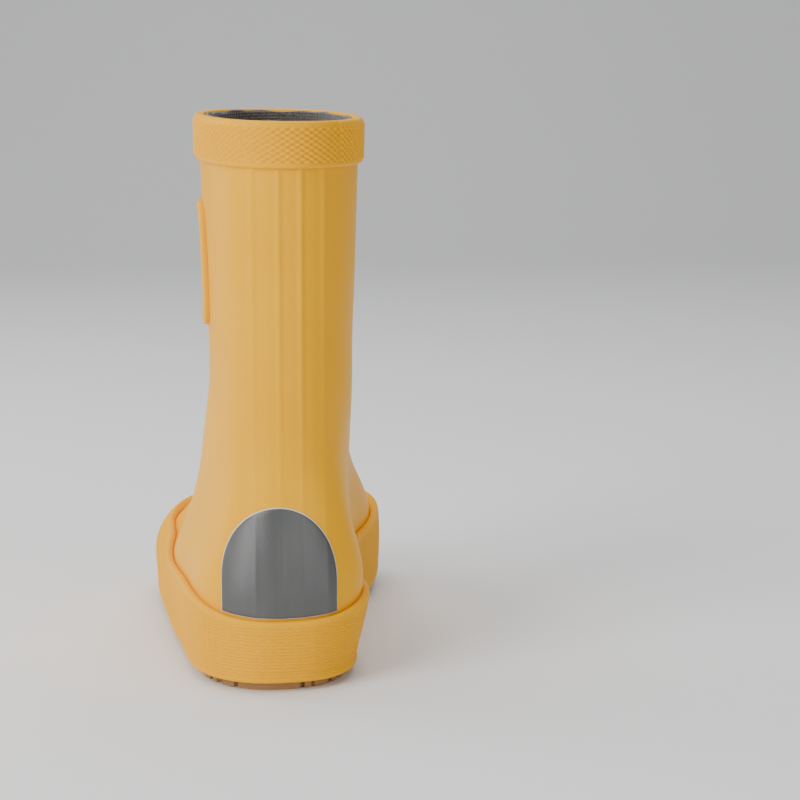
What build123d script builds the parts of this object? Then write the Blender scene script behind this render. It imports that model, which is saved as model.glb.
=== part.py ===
"""A child's rubber rain boot for the left foot, EU size 22, laid up by hand and vulcanised.

The rubber upper, its linings and its stiffeners are skins nested inside one smooth form. The
form is a stack of level outlines: the sole's outline below the ankle, an oval above it. A skin
lies between two copies of the form, each set in by its own distance.

+Y points at the toe, +X at the inner (medial) side of the left foot, +Z up. The origin is on the
floor, under the middle of the whole boot.
"""
import os
from math import copysign, cos, hypot, pi, sin

from build123d import *

os.makedirs("parts", exist_ok=True)

# ---- overall sizes ----
BOOT_HEIGHT = 172.0  # floor to the top of the cuff
SOLE_LENGTH = 152.0  # outsole, heel to toe
SOLE_WIDTH = 70.5  # outsole, across the ball of the foot
ANKLE_HEIGHT = 88.0  # the narrowest part of the leg
LEG_WIDTH = 48.9  # across the leg, just below the cuff
LEG_DEPTH = 91.0  # back to front, just below the cuff
ANKLE_WIDTH = 44.9
ANKLE_DEPTH = 84.5

# ---- places ----
LEG_SHIFT = 4.5  # the leg's axis lies this far to the inner side of the heel's
LEG_BACK = 2.4  # back of the leg under the cuff, ahead of the heel's
ANKLE_BACK = 6.6  # back of the ankle, ahead of the heel's
SPRING_START = 92.0  # the sole is flat from the heel to here
SPRING_RADIUS = 350.0  # and curves up to the toe from here
PAST_TOE = 30.0  # the curved floor line is drawn on past the toe by this much

# ---- thicknesses ----
WALL = 1.7  # rubber upper
LINING = 1.3  # textile lining
STIFFENER = 0.8  # heel counter and toe puff
TAPE = 0.5  # tape over the lining's back seam
BOARD = 1.5  # insole board
FOAM = 3.5  # footbed
COVER = 0.8  # cloth on the footbed
CUFF = 1.6
FOXING = 2.4  # rubber strip around the sole
TOE_BUMPER = 1.5  # what the foxing is thicker by at the toe
BUMPER_START = 0.78  # the foxing thickens from here, as a share of the sole's length
BUMPER_RUN = 0.17  # over this share
LIP = 1.2  # the foxing turns in under the upper by this much
GLUE = 0.06  # cement between two pieces

# ---- outsole ----
TREAD = 2.6  # depth of the grooves
SOLE_BASE = 2.0  # rubber above the grooves
WAIST_RECESS = 1.3  # the waist stands clear of the floor by this much
FOXING_LIFT = 2.9  # lower edge of the foxing above the floor
HEEL_TREAD = 36.0  # the heel's ribs end here
FORE_TREAD = 71.5  # the forefoot's ribs start here
FORE_RIB = 3.6  # width of a rib in the forefoot
HEEL_RIB = 2.8
FORE_PITCH = 5.8
HEEL_PITCH = 4.7
FORE_SLOPE = 6.3  # degrees, inner side forward
HEEL_SLOPE = -2.5
WAVE_LENGTH = 5.5
WAVE_HEIGHT = 1.3
MEDALLION = (0.2, 22.7)  # plain disc in the heel
MEDALLION_DIAMETER = 21.0
SIZE_DISC = (-3.0, 50.0)  # small ring in the waist, where the size stands
SIZE_DISC_DIAMETER = 9.4
RING = 1.1  # width of the discs' rings and of the grooves beside them

# ---- bands and patches ----
CUFF_HEIGHT = 14.0
CUFF_TURN = 1.2  # the cuff turns over the upper's top edge, this thick
HEEL_FOXING = 22.5  # top edge of the foxing at the back of the heel
SIDE_FOXING = 26.0  # and along the sides
TOE_FOXING = 30.5
FOXING_LAP = 12.0  # length of the overlap where the strip's ends meet
FOXING_LAP_RISE = 0.6
FLUTES = 4  # soft ribs down the back of the leg
FLUTE_PITCH = 7.2
FLUTE_WIDTH = 2.2
FLUTE_RISE = 0.45
REFLECTOR_WIDTH = 34.8
REFLECTOR_SHIFT = 1.9  # its middle lies this far to the inner side of the heel's
REFLECTOR_TOP = 55.4
REFLECTOR_ARCH = 21.5  # height of its half ellipse
REFLECTOR_LIFT = 0.3  # its lower edge above the foxing
REFLECTIVE_FILM = 0.35
REFLECTOR_BACKING = 0.45
REFLECTOR_EDGE = 0.4  # the backing shows this much around the film
BADGE_HEIGHT = 39.0
BADGE_WIDTH = 26.0
BADGE_TOP = 27.0  # below the top of the boot
BADGE_RISE = 1.7
BADGE_RIM = 2.4
BADGE_FIELD = 0.5  # the middle lies this much below the rim
LASTING_MARGIN = 11.0  # upper and lining turn in under the foot by this much
LINING_SEAM = 72.0  # height of the seam between the foot's lining and the leg's
COUNTER_LENGTH = 50.0
COUNTER_HEIGHT = 46.0
PUFF_START = 116.0
PUFF_LEAN = 6.0  # its back edge leans by this much above the sides, and twice that below
PUFF_SIDE = 16.0  # height of that bend above its lower edge
STIFFENER_FOOT = 4.0  # the stiffeners' ends stand this high above the insole board
TAPE_WIDTH = 14.0
FOOTBED_CLEARANCE = 0.5

# The foxing's top edge: its heights at shares of the sole's length, from behind the heel.
FOXING_EDGE = [
    (-0.13, HEEL_FOXING - 1), (-0.01, HEEL_FOXING), (0.1, SIDE_FOXING - 0.3), (0.22, SIDE_FOXING),
    (0.45, SIDE_FOXING - 0.5), (0.75, SIDE_FOXING + 0.5), (1.02, TOE_FOXING), (1.2, TOE_FOXING + 2),
]

# ---- heights above the curved floor line, from the ground up ----
SOLE_TOP = TREAD + SOLE_BASE
UPPER_BOTTOM = SOLE_TOP + GLUE
LINING_BOTTOM = UPPER_BOTTOM + WALL + GLUE
BOARD_BOTTOM = LINING_BOTTOM + LINING + GLUE
FOAM_BOTTOM = BOARD_BOTTOM + BOARD + GLUE
COVER_BOTTOM = FOAM_BOTTOM + FOAM + GLUE

# ---- how far each skin's faces lie inside the form ----
LINING_OUT = WALL + GLUE
POCKET = LINING_OUT + STIFFENER + GLUE
LINING_IN = LINING_OUT + LINING

FAR = 300.0  # past the boot on any side
UNDER = -30.0
SOLVING_STEPS = 14  # rounds that bring a point of a set-in form to its level
SOLVING_PACE = 0.8  # share of the error taken off in each
UP_STEP = 0.5  # the form's upward direction is taken over this much to either side

# The outsole's outline from the back of the heel, round the outer side to the toe and back, as
# shares of the sole's width and length. The toe is the station in the middle.
OUTLINE = [
    (0.01, 0.0), (-0.145, 0.015), (-0.262, 0.07), (-0.32, 0.158), (-0.349, 0.27),
    (-0.385, 0.382), (-0.416, 0.513), (-0.449, 0.645), (-0.467, 0.757), (-0.434, 0.842),
    (-0.31, 0.918), (-0.11, 0.969), (0.138, 0.999), (0.33, 0.993), (0.489, 0.934),
    (0.533, 0.842), (0.496, 0.737), (0.413, 0.625), (0.328, 0.513), (0.284, 0.408),
    (0.29, 0.309), (0.316, 0.197), (0.3, 0.092), (0.185, 0.02),
]
TOE = 12
COUNT = len(OUTLINE)


def eased(share):
    """A smooth rise from 0 to 1 while the share goes from 0 to 1, and level outside that."""
    return 0.5 - 0.5 * cos(pi * min(1.0, max(0.0, share)))


def grown(points, distance):
    """Move the points of a closed outline outward, each square to the line between its neighbours."""
    moved = []
    for i, (x, y) in enumerate(points):
        (xa, ya), (xb, yb) = points[i - 1], points[(i + 1) % len(points)]
        run = hypot(xb - xa, yb - ya)
        moved.append((x + (ya - yb) / run * distance, y + (xb - xa) / run * distance))
    return moved


SOLE = [(x * SOLE_WIDTH, y * SOLE_LENGTH) for x, y in OUTLINE]
FOOT = grown(SOLE, LIP)
TOE_LINE = SOLE_LENGTH + LIP


STEPS = [hypot(FOOT[i][0] - FOOT[i - 1][0], FOOT[i][1] - FOOT[i - 1][1]) for i in range(COUNT)]
ROUND = [sum(STEPS[1:i + 1]) / sum(STEPS) for i in range(COUNT)] + [1.0]  # each station's way round


def oval_turns():
    """Each station's place on the leg's oval, in turns of it, as far round as on the sole."""
    steps = STEPS
    outer, inner = sum(steps[1:TOE + 1]), sum(steps[TOE + 1:]) + steps[0]
    turns, run = [0.0], 0.0
    for i in range(1, COUNT):
        run += steps[i]
        turns.append(run / outer / 2 if i <= TOE else 0.5 + (run - outer) / inner / 2)
    return turns


TURNS = oval_turns()
OVAL_POWER = 2 / 2.25  # a little squarer than an ellipse

# Levels of the form. Below the ankle: height as a share of the ankle's, back of the section,
# front as a share of the toe line, width as a share of the sole's at the heel, at the ball's inner
# side and at its outer side, which is lower, the heel's shift to the inner side, half width of the
# oval that the section turns into, and how far it has turned into it.
FOOT_LEVELS = [
    (-0.12, -0.3, 0.985, 0.985, 0.985, 0.985, 0.0, 24.0, 0.0),
    (-0.03, -0.4, 0.987, 0.99, 0.987, 0.987, 0.1, 24.0, 0.0),
    (0.06, -0.5, 0.99, 1.0, 0.99, 0.99, 0.2, 24.0, 0.0),
    (0.16, -1.2, 1.0, 1.05, 1.005, 1.0, 1.0, 24.0, 0.0),
    (0.26, -1.7, 0.998, 1.098, 1.0, 0.975, 1.8, 24.0, 0.0),
    (0.34, -1.7, 0.977, 1.105, 0.985, 0.8, 2.5, 24.6, 0.02),
    (0.42, -0.8, 0.93, 1.07, 0.95, 0.7, 3.0, 25.2, 0.08),
    (0.50, 0.6, 0.862, 1.005, 0.905, 0.665, 3.2, 25.7, 0.19),
    (0.58, 2.4, 0.787, 0.935, 0.86, 0.645, 3.3, 25.9, 0.33),
    (0.66, 4.1, 0.722, 0.865, 0.83, 0.635, 3.2, 25.5, 0.49),
    (0.75, 5.5, 0.666, 0.81, 0.80, 0.63, 2.2, 24.6, 0.67),
    (0.86, 6.4, 0.618, 0.78, 0.78, 0.64, 1.0, 23.4, 0.85),
]
HEEL_END = 0.42  # the heel's width share holds up to here, as a share of the sole's length
BALL_START = 0.66  # and the ball's from here
# From the ankle up: share of the way to the top, and of the way from the ankle's size to the leg's.
LEG_LEVELS = [(0.0, 0.0), (0.17, 0.05), (0.37, 0.35), (0.62, 0.72), (0.85, 1.0), (1.0, 1.14), (1.1, 1.22)]


def level_table():
    table = []
    for share, back, front, *rest in FOOT_LEVELS:
        table.append((share * ANKLE_HEIGHT, back, front * TOE_LINE, *rest))
    for share, grow in LEG_LEVELS:
        height = ANKLE_HEIGHT + share * (BOOT_HEIGHT - ANKLE_HEIGHT)
        back = ANKLE_BACK + grow * (LEG_BACK - ANKLE_BACK)
        depth = ANKLE_DEPTH + grow * (LEG_DEPTH - ANKLE_DEPTH)
        width = ANKLE_WIDTH + grow * (LEG_WIDTH - ANKLE_WIDTH)
        table.append((height, back, back + depth, *FOOT_LEVELS[-1][3:7], width / 2, 1.0))
    return table


LEVELS = level_table()
HEIGHTS = [level[0] for level in LEVELS]


def level_at(height):
    """The form's level at any height, by a cubic between the two levels around it."""
    last = len(LEVELS) - 2
    k = max(i for i in range(last + 1) if i == 0 or HEIGHTS[i] <= height)
    span = HEIGHTS[k + 1] - HEIGHTS[k]
    t = (height - HEIGHTS[k]) / span
    values = []
    for before, this, after, beyond in zip(
        LEVELS[max(k - 1, 0)], LEVELS[k], LEVELS[k + 1], LEVELS[min(k + 2, last + 1)]
    ):
        values.append((before, this, after, beyond))
    heights = values[0]
    level = []
    for before, this, after, beyond in values[1:]:
        rise_in = (after - before) / (heights[2] - heights[0]) * span
        rise_out = (beyond - this) / (heights[3] - heights[1]) * span
        level.append(
            this * (2 * t**3 - 3 * t**2 + 1) + rise_in * (t**3 - 2 * t**2 + t)
            + after * (3 * t**2 - 2 * t**3) + rise_out * (t**3 - t**2)
        )
    return level


def station(i, height):
    """Where station i of the form's outline lies at this height."""
    back, front, heel_width, inner_ball, outer_ball, shift, half_width, turned = level_at(height)
    x, y = FOOT[i % COUNT]
    ahead = eased((y / SOLE_LENGTH - HEEL_END) / (BALL_START - HEEL_END))
    ball_width = outer_ball if x < 0 else inner_ball
    foot_x = x * (heel_width + (ball_width - heel_width) * ahead) + shift * (1 - ahead)
    y = back + (y + LIP) / (TOE_LINE + LIP) * (front - back)
    angle = TURNS[i % COUNT] * 2 * pi
    side, along = -sin(angle), -cos(angle)
    oval_x = LEG_SHIFT + half_width * copysign(abs(side) ** OVAL_POWER, side)
    oval_y = (back + front) / 2 + (front - back) / 2 * copysign(abs(along) ** OVAL_POWER, along)
    return Vector(
        foot_x + turned * (oval_x - foot_x), y + turned * (oval_y - y), height
    )


def inside(i, height, inset):
    """The form's point that is set in square to its surface and ends up at this height."""
    level = height
    for _ in range(SOLVING_STEPS):
        here = station(i, level)
        along = station(i + 1, level) - station(i - 1, level)
        up = station(i, level + UP_STEP) - station(i, level - UP_STEP)
        point = here + along.cross(up).normalized() * inset
        level += SOLVING_PACE * (height - point.Z)
    return (point.X, point.Y)


def form(inset, toe_extra=0.0):
    """The boot's solid form, its walls set in by this much, or out where it is negative."""
    with BuildPart() as solid:
        for height in HEIGHTS:
            points = []
            for i in range(COUNT):
                bumper = eased((OUTLINE[i][1] - BUMPER_START) / BUMPER_RUN)
                points.append(inside(i, height, inset - toe_extra * bumper))
            with BuildSketch(Plane.XY.offset(height)):
                with BuildLine():
                    add(Edge.make_spline(points, periodic=True, parameters=ROUND))
                make_face()
        loft()
    return solid.part


def sole_slab(low, high):
    """Everything between two heights above the floor line, which curves up under the toe."""
    end = (SOLE_LENGTH - SPRING_START + PAST_TOE) / SPRING_RADIUS
    half = end / 2

    def on_arc(height, angle):
        reach = SPRING_RADIUS - height
        return (SPRING_START + reach * sin(angle), SPRING_RADIUS - reach * cos(angle))

    with BuildPart() as slab:
        with BuildSketch(Plane.YZ):
            with BuildLine():
                Line((-FAR, low), (SPRING_START, low))
                ThreePointArc((SPRING_START, low), on_arc(low, half), on_arc(low, end))
                Line(on_arc(low, end), on_arc(high, end))
                ThreePointArc(on_arc(high, end), on_arc(high, half), (SPRING_START, high))
                Line((SPRING_START, high), (-FAR, high))
                Line((-FAR, high), (-FAR, low))
            make_face()
        extrude(amount=FAR, both=True)
    return slab.part


def footprint(grow):
    """An upright block with the outsole's outline, grown by this much."""
    with BuildPart() as block:
        with BuildSketch(Plane.XY.offset(UNDER)):
            with BuildLine():
                Spline(*grown(SOLE, grow), periodic=True)
            make_face()
        extrude(amount=FAR)
    return block.part


def level_band(low, high):
    """Everything between two heights above the floor."""
    with BuildPart() as band:
        with Locations((0, 0, (low + high) / 2)):
            Box(2 * FAR, 2 * FAR, high - low)
    return band.part


def foxing_zone(raised):
    """Everything below the foxing's top edge, or below a line raised over it by this much."""
    with BuildPart() as zone:
        with BuildSketch(Plane.YZ):
            with BuildLine():
                edge = Spline(*[(share * SOLE_LENGTH, top + raised) for share, top in FOXING_EDGE])
                Polyline(edge @ 1, ((edge @ 1).X, UNDER), ((edge @ 0).X, UNDER), edge @ 0)
            make_face()
        extrude(amount=FAR, both=True)
    return zone.part


def shell(outer, inner, bottom, thickness):
    """A skin between two forms, turned in under the foot as a margin of the same kind."""
    with BuildPart() as hollow:
        add(inner)
        add(sole_slab(UNDER, bottom + thickness), mode=Mode.SUBTRACT)
        add(margin_hole)
    with BuildPart() as piece:
        add(outer)
        add(sole_slab(UNDER, bottom), mode=Mode.SUBTRACT)
        add(hollow.part, mode=Mode.SUBTRACT)
    return piece.part


def skin(outer, inner, low, high):
    """What lies between two forms and between two heights above the floor."""
    with BuildPart() as piece:
        add(outer)
        add(level_band(low, high), mode=Mode.INTERSECT)
        add(inner, mode=Mode.SUBTRACT)
    return piece.part


def counter_zone(grow):
    """The part of the foot that the heel counter covers, seen from the side."""
    low = BOARD_BOTTOM - grow
    top = COUNTER_HEIGHT + grow
    end = COUNTER_LENGTH + grow
    crest = 0.2 * COUNTER_LENGTH
    shoulder = (0.6 * COUNTER_LENGTH + grow, 0.7 * COUNTER_HEIGHT + grow)
    with BuildPart() as zone:
        with BuildSketch(Plane.YZ):
            with BuildLine():
                Polyline((-FAR, top), (-FAR, low), (end, low), (end, low + STIFFENER_FOOT))
                Spline((end, low + STIFFENER_FOOT), shoulder, (crest, top), tangents=((-0.3, 1), (-1, 0)))
                Line((crest, top), (-FAR, top))
            make_face()
        extrude(amount=FAR, both=True)
    return zone.part


def puff_zone(grow):
    """The part of the foot that the toe puff covers: everything ahead of a leaning line."""
    start = PUFF_START - grow
    low = BOARD_BOTTOM + STIFFENER_FOOT - grow
    with BuildPart() as zone:
        with BuildSketch(Plane.YZ):
            with BuildLine():
                Polyline(
                    (start - PUFF_LEAN, FAR), (start, low + PUFF_SIDE), (start + 2 * PUFF_LEAN, low),
                    (FAR, low), (FAR, FAR), (start - PUFF_LEAN, FAR),
                )
            make_face()
        extrude(amount=FAR, both=True)
    return zone.part


def wave_line(start, slope):
    """The points of one wavy edge of a rib, across the sole from the outer side to the inner."""
    points = []
    half_waves = int(SOLE_WIDTH / WAVE_LENGTH) + 1
    for k in range(-half_waves, half_waves + 1):
        x = k * WAVE_LENGTH / 2
        lean = sin(slope * pi / 180) * x
        points.append((x, start + lean + (WAVE_HEIGHT / 2) * (-1) ** k))
    return points


def waist_edge(start, slope, side):
    """How far forward a line across the sole is at one of the two far sides."""
    return start + side * SOLE_WIDTH * sin(slope * pi / 180)


def ribs(starts, slope, width):
    """Wavy ribs as one sketch's worth of blocks, from the floor to the sole's base."""
    with BuildPart() as bars:
        with BuildSketch():
            for start in starts:
                front = wave_line(start + width, slope)
                with BuildLine():
                    Polyline(*wave_line(start, slope), *reversed(front), close=True)
                make_face()
        extrude(amount=HEEL_FOXING)
    return bars.part


def dome(grow):
    """The reflector's outline as a block through the heel: half an ellipse on a rectangle."""
    half = REFLECTOR_WIDTH / 2 + grow
    shoulder = REFLECTOR_TOP - REFLECTOR_ARCH
    with BuildPart() as block:
        with BuildSketch(Plane.XZ):
            with BuildLine():
                EllipticalCenterArc(
                    (REFLECTOR_SHIFT, shoulder), half, REFLECTOR_ARCH + grow, start_angle=0, arc_size=180
                )
                Polyline(
                    (REFLECTOR_SHIFT - half, shoulder), (REFLECTOR_SHIFT - half, 0),
                    (REFLECTOR_SHIFT + half, 0), (REFLECTOR_SHIFT + half, shoulder),
                )
            make_face()
        extrude(amount=SOLE_LENGTH / 5, both=True)
    return block.part


def badge_block(shrink):
    """The badge's outline as a block out to the outer side of the leg."""
    middle = BOOT_HEIGHT - BADGE_TOP - BADGE_HEIGHT / 2
    with BuildPart() as block:
        with BuildSketch(Plane.YZ):
            with Locations((LEG_BACK + LEG_DEPTH / 2, middle)):
                RectangleRounded(
                    BADGE_WIDTH - 2 * shrink, BADGE_HEIGHT - 2 * shrink, BADGE_WIDTH / 4 - shrink
                )
        extrude(amount=-SOLE_WIDTH)
    return block.part


# ---- the nested forms and blocks, made once ----
outer_form = form(0)
glued_on = form(-GLUE)
upper_inner = form(WALL)
lining_outer = form(LINING_OUT)
stiffener_inner = form(LINING_OUT + STIFFENER)
pocket_floor = form(POCKET)
lining_inner = form(LINING_IN)
board_form = form(LINING_IN + GLUE)
margin_hole = footprint(-LASTING_MARGIN)
with BuildPart() as margin_plug:
    add(margin_hole)
    add(sole_slab(UNDER, BOARD_BOTTOM - GLUE), mode=Mode.INTERSECT)
margin_hole = margin_plug.part
foxing_low = sole_slab(UNDER, FOXING_LIFT)
top_of_lining = BOOT_HEIGHT - CUFF_TURN / 2
cuff_bottom = BOOT_HEIGHT - CUFF_HEIGHT


# ---- rubber upper, with its lasting margin turned in under the foot ----
with BuildPart() as flutes:
    with BuildSketch(Plane.XZ):
        flute_low = REFLECTOR_TOP + 3
        flute_high = cuff_bottom + 1
        with Locations((LEG_SHIFT, (flute_low + flute_high) / 2)):
            with GridLocations(FLUTE_PITCH, 1, FLUTES, 1):
                SlotOverall(flute_high - flute_low, FLUTE_WIDTH, rotation=90)
    extrude(amount=SOLE_LENGTH / 6, both=True)
    add(form(-FLUTE_RISE), mode=Mode.INTERSECT)
    add(form(WALL / 2), mode=Mode.SUBTRACT)

with BuildPart() as upper_shell:
    add(shell(outer_form, upper_inner, UPPER_BOTTOM, WALL))
    add(flutes.part)
    add(level_band(UNDER, BOOT_HEIGHT - CUFF_TURN - GLUE), mode=Mode.INTERSECT)
upper_shell.part.label = "upper_shell"


# ---- knurled strip round the top, turned over the upper's edge ----
with BuildPart() as upper_grown:
    add(form(-FLUTE_RISE - GLUE))
    add(level_band(UNDER, BOOT_HEIGHT - CUFF_TURN), mode=Mode.INTERSECT)

with BuildPart() as cuff_band:
    add(form(-CUFF))
    add(level_band(cuff_bottom, BOOT_HEIGHT), mode=Mode.INTERSECT)
    add(upper_grown.part, mode=Mode.SUBTRACT)
    add(upper_inner, mode=Mode.SUBTRACT)
cuff_band.part.label = "cuff_band"


# ---- raised badge on the outer side of the leg ----
with BuildPart() as badge_field:
    add(badge_block(BADGE_RIM))
    add(form(BADGE_FIELD - BADGE_RISE), mode=Mode.SUBTRACT)

with BuildPart() as side_badge:
    add(badge_block(0))
    add(form(-BADGE_RISE), mode=Mode.INTERSECT)
    add(glued_on, mode=Mode.SUBTRACT)
    add(badge_field.part, mode=Mode.SUBTRACT)
side_badge.part.label = "side_badge"


# ---- reflector on the heel: a film on a slightly larger backing ----
backing_form = form(-GLUE - REFLECTOR_BACKING)
with BuildPart() as reflector_backing:
    add(dome(0))
    add(backing_form, mode=Mode.INTERSECT)
    add(glued_on, mode=Mode.SUBTRACT)
    add(foxing_zone(REFLECTOR_LIFT), mode=Mode.SUBTRACT)
reflector_backing.part.label = "reflector_backing"

with BuildPart() as heel_reflector:
    add(dome(-REFLECTOR_EDGE))
    add(form(-2 * GLUE - REFLECTOR_BACKING - REFLECTIVE_FILM), mode=Mode.INTERSECT)
    add(form(-2 * GLUE - REFLECTOR_BACKING), mode=Mode.SUBTRACT)
    add(foxing_zone(REFLECTOR_LIFT + REFLECTOR_EDGE), mode=Mode.SUBTRACT)
heel_reflector.part.label = "heel_reflector"


# ---- outsole: a base, wavy ribs under it, a plain disc in the heel and a ring in the waist ----
WAIST_END = FORE_TREAD - WAVE_HEIGHT - RING
fore_count = int((SOLE_LENGTH - FORE_TREAD) / FORE_PITCH) + 2
heel_count = int((HEEL_TREAD - HEEL_RIB) / HEEL_PITCH) + 1
fore_ribs = ribs([FORE_TREAD + k * FORE_PITCH for k in range(fore_count)], FORE_SLOPE, FORE_RIB)
heel_starts = [HEEL_TREAD - RING - HEEL_RIB - k * HEEL_PITCH for k in range(heel_count + 1)]
heel_ribs = ribs(heel_starts, HEEL_SLOPE, HEEL_RIB)
heel_end_rib = ribs([-HEEL_RIB], HEEL_SLOPE, 2 * HEEL_RIB)

with BuildPart() as tread:
    add(fore_ribs)
    add(heel_ribs)
    add(heel_end_rib)
    with BuildSketch() as medallion_clear:
        with Locations(MEDALLION):
            Circle(MEDALLION_DIAMETER / 2 + RING)
    extrude(amount=TREAD, mode=Mode.SUBTRACT)
    with BuildSketch() as medallion_disc:
        with Locations(MEDALLION):
            Circle(MEDALLION_DIAMETER / 2)
            Circle(MEDALLION_DIAMETER / 2 - RING, mode=Mode.SUBTRACT)
            Circle(MEDALLION_DIAMETER / 2 - 2 * RING)
            Circle(MEDALLION_DIAMETER / 4, mode=Mode.SUBTRACT)
            Circle(MEDALLION_DIAMETER / 4 - RING)
    extrude(amount=SOLE_TOP / 2 + TREAD / 2)
    with BuildSketch(Plane.XY.offset(WAIST_RECESS)) as waist:
        with BuildLine():
            Polyline(
                (-SOLE_WIDTH, waist_edge(HEEL_TREAD, HEEL_SLOPE, -1)),
                (SOLE_WIDTH, waist_edge(HEEL_TREAD, HEEL_SLOPE, 1)),
                (SOLE_WIDTH, waist_edge(WAIST_END, FORE_SLOPE, 1)),
                (-SOLE_WIDTH, waist_edge(WAIST_END, FORE_SLOPE, -1)),
                close=True,
            )
        make_face()
    extrude(amount=TREAD)
    with BuildSketch(Plane.XY.offset(WAIST_RECESS / 2)) as size_ring:
        with Locations(SIZE_DISC):
            Circle(SIZE_DISC_DIAMETER / 2)
            Circle(SIZE_DISC_DIAMETER / 2 - RING / 2, mode=Mode.SUBTRACT)
    extrude(amount=TREAD)
    add(sole_slab(0, TREAD + SOLE_BASE / 2), mode=Mode.INTERSECT)

with BuildPart() as outsole:
    add(sole_slab(TREAD, SOLE_TOP))
    add(tread.part)
    add(footprint(0), mode=Mode.INTERSECT)
outsole.part.label = "outsole"


# ---- foxing: the strip round the sole, thicker at the toe, its ends lapped at the waist ----
with BuildPart() as foxing_lap:
    with Locations((SOLE_WIDTH / 2, (HEEL_TREAD + FORE_TREAD) / 2, HEEL_FOXING)):
        Box(SOLE_WIDTH, FOXING_LAP, 2 * HEEL_FOXING)
    add(form(-FOXING - FOXING_LAP_RISE), mode=Mode.INTERSECT)

with BuildPart() as upper_room:
    add(glued_on)
    add(sole_slab(UNDER, SOLE_TOP), mode=Mode.SUBTRACT)

with BuildPart() as foxing_band:
    add(form(-FOXING, TOE_BUMPER))
    add(foxing_lap.part)
    add(foxing_zone(0), mode=Mode.INTERSECT)
    add(foxing_low, mode=Mode.SUBTRACT)
    add(upper_room.part, mode=Mode.SUBTRACT)
    add(footprint(GLUE), mode=Mode.SUBTRACT)
foxing_band.part.label = "foxing_band"


# ---- inside the sole ----
with BuildPart() as bottom_filler:
    add(footprint(-LASTING_MARGIN - GLUE))
    add(sole_slab(UPPER_BOTTOM, BOARD_BOTTOM - GLUE), mode=Mode.INTERSECT)
bottom_filler.part.label = "bottom_filler"

with BuildPart() as insole_board:
    add(board_form)
    add(sole_slab(BOARD_BOTTOM, BOARD_BOTTOM + BOARD), mode=Mode.INTERSECT)
insole_board.part.label = "insole_board"

footbed_form = form(LINING_IN + FOOTBED_CLEARANCE)
with BuildPart() as footbed_foam:
    add(footbed_form)
    add(sole_slab(FOAM_BOTTOM, FOAM_BOTTOM + FOAM), mode=Mode.INTERSECT)
footbed_foam.part.label = "footbed_foam"

with BuildPart() as footbed_cover:
    add(footbed_form)
    add(sole_slab(COVER_BOTTOM, COVER_BOTTOM + COVER), mode=Mode.INTERSECT)
footbed_cover.part.label = "footbed_cover"


# ---- stiffeners between the upper and the lining ----
stiffener = skin(lining_outer, stiffener_inner, 0, ANKLE_HEIGHT)

with BuildPart() as heel_counter:
    add(stiffener)
    add(counter_zone(0), mode=Mode.INTERSECT)
heel_counter.part.label = "heel_counter"

with BuildPart() as toe_puff:
    add(stiffener)
    add(puff_zone(0), mode=Mode.INTERSECT)
toe_puff.part.label = "toe_puff"


# ---- linings, thinned where the stiffeners press into them ----
with BuildPart() as pockets:
    add(counter_zone(2 * GLUE))
    add(puff_zone(2 * GLUE))
    add(pocket_floor, mode=Mode.SUBTRACT)

with BuildPart() as foot_lining:
    add(shell(lining_outer, lining_inner, LINING_BOTTOM, LINING))
    add(pockets.part, mode=Mode.SUBTRACT)
    add(level_band(UNDER, LINING_SEAM - GLUE), mode=Mode.INTERSECT)
foot_lining.part.label = "foot_lining"

with BuildPart() as leg_lining:
    add(skin(lining_outer, lining_inner, LINING_SEAM, top_of_lining))
leg_lining.part.label = "leg_lining"

with BuildPart() as lining_back_tape:
    with Locations((LEG_SHIFT, 0, (LINING_SEAM + top_of_lining) / 2)):
        Box(TAPE_WIDTH, LEG_DEPTH, top_of_lining - LINING_SEAM - 2 * LINING)
    tape_inner = form(LINING_IN + GLUE + TAPE)
    add(skin(board_form, tape_inner, LINING_SEAM, top_of_lining), mode=Mode.INTERSECT)
lining_back_tape.part.label = "lining_back_tape"


# ---- files: the boot is moved so that the origin is on the floor under its middle ----
boot = [
    upper_shell, cuff_band, side_badge, reflector_backing, heel_reflector, foxing_band, outsole,
    bottom_filler, insole_board, footbed_foam, footbed_cover, heel_counter, toe_puff,
    foot_lining, leg_lining, lining_back_tape,
]
middle = foxing_band.part.bounding_box().center()
home = Location((-middle.X, -middle.Y, 0))
print("the heel's centre line is at", -middle.X, -middle.Y)
for piece in boot:
    export_step(piece.part.moved(home), f"parts/{piece.part.label}.step")
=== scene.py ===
"""A child's yellow rubber rain boot, seen from behind.

Every visible skin of the boot is built on one smooth surface, the upper's, which is read from the
CAD upper's inner face: level rings, the same number of points in each. A place on it is a turn
(0 at the back, 0.5 at the front, the outer side first) and a height in millimetres.
"""

import math

import bmesh
import bpy
import numpy as np
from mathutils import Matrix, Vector
from mathutils.bvhtree import BVHTree


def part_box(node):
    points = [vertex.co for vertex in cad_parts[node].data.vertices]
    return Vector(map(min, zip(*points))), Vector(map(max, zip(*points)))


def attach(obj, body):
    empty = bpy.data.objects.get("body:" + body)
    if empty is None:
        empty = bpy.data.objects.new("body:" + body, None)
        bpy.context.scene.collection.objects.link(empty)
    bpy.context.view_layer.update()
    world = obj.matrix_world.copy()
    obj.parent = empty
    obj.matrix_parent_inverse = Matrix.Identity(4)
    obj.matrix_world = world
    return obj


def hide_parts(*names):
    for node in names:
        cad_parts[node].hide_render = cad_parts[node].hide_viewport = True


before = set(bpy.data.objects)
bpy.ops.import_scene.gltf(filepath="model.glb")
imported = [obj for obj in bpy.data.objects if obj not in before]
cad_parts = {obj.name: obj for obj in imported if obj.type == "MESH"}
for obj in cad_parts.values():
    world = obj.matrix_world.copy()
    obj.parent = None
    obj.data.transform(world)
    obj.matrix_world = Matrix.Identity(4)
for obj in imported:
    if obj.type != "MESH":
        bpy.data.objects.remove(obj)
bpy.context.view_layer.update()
MM = 0.001

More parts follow.
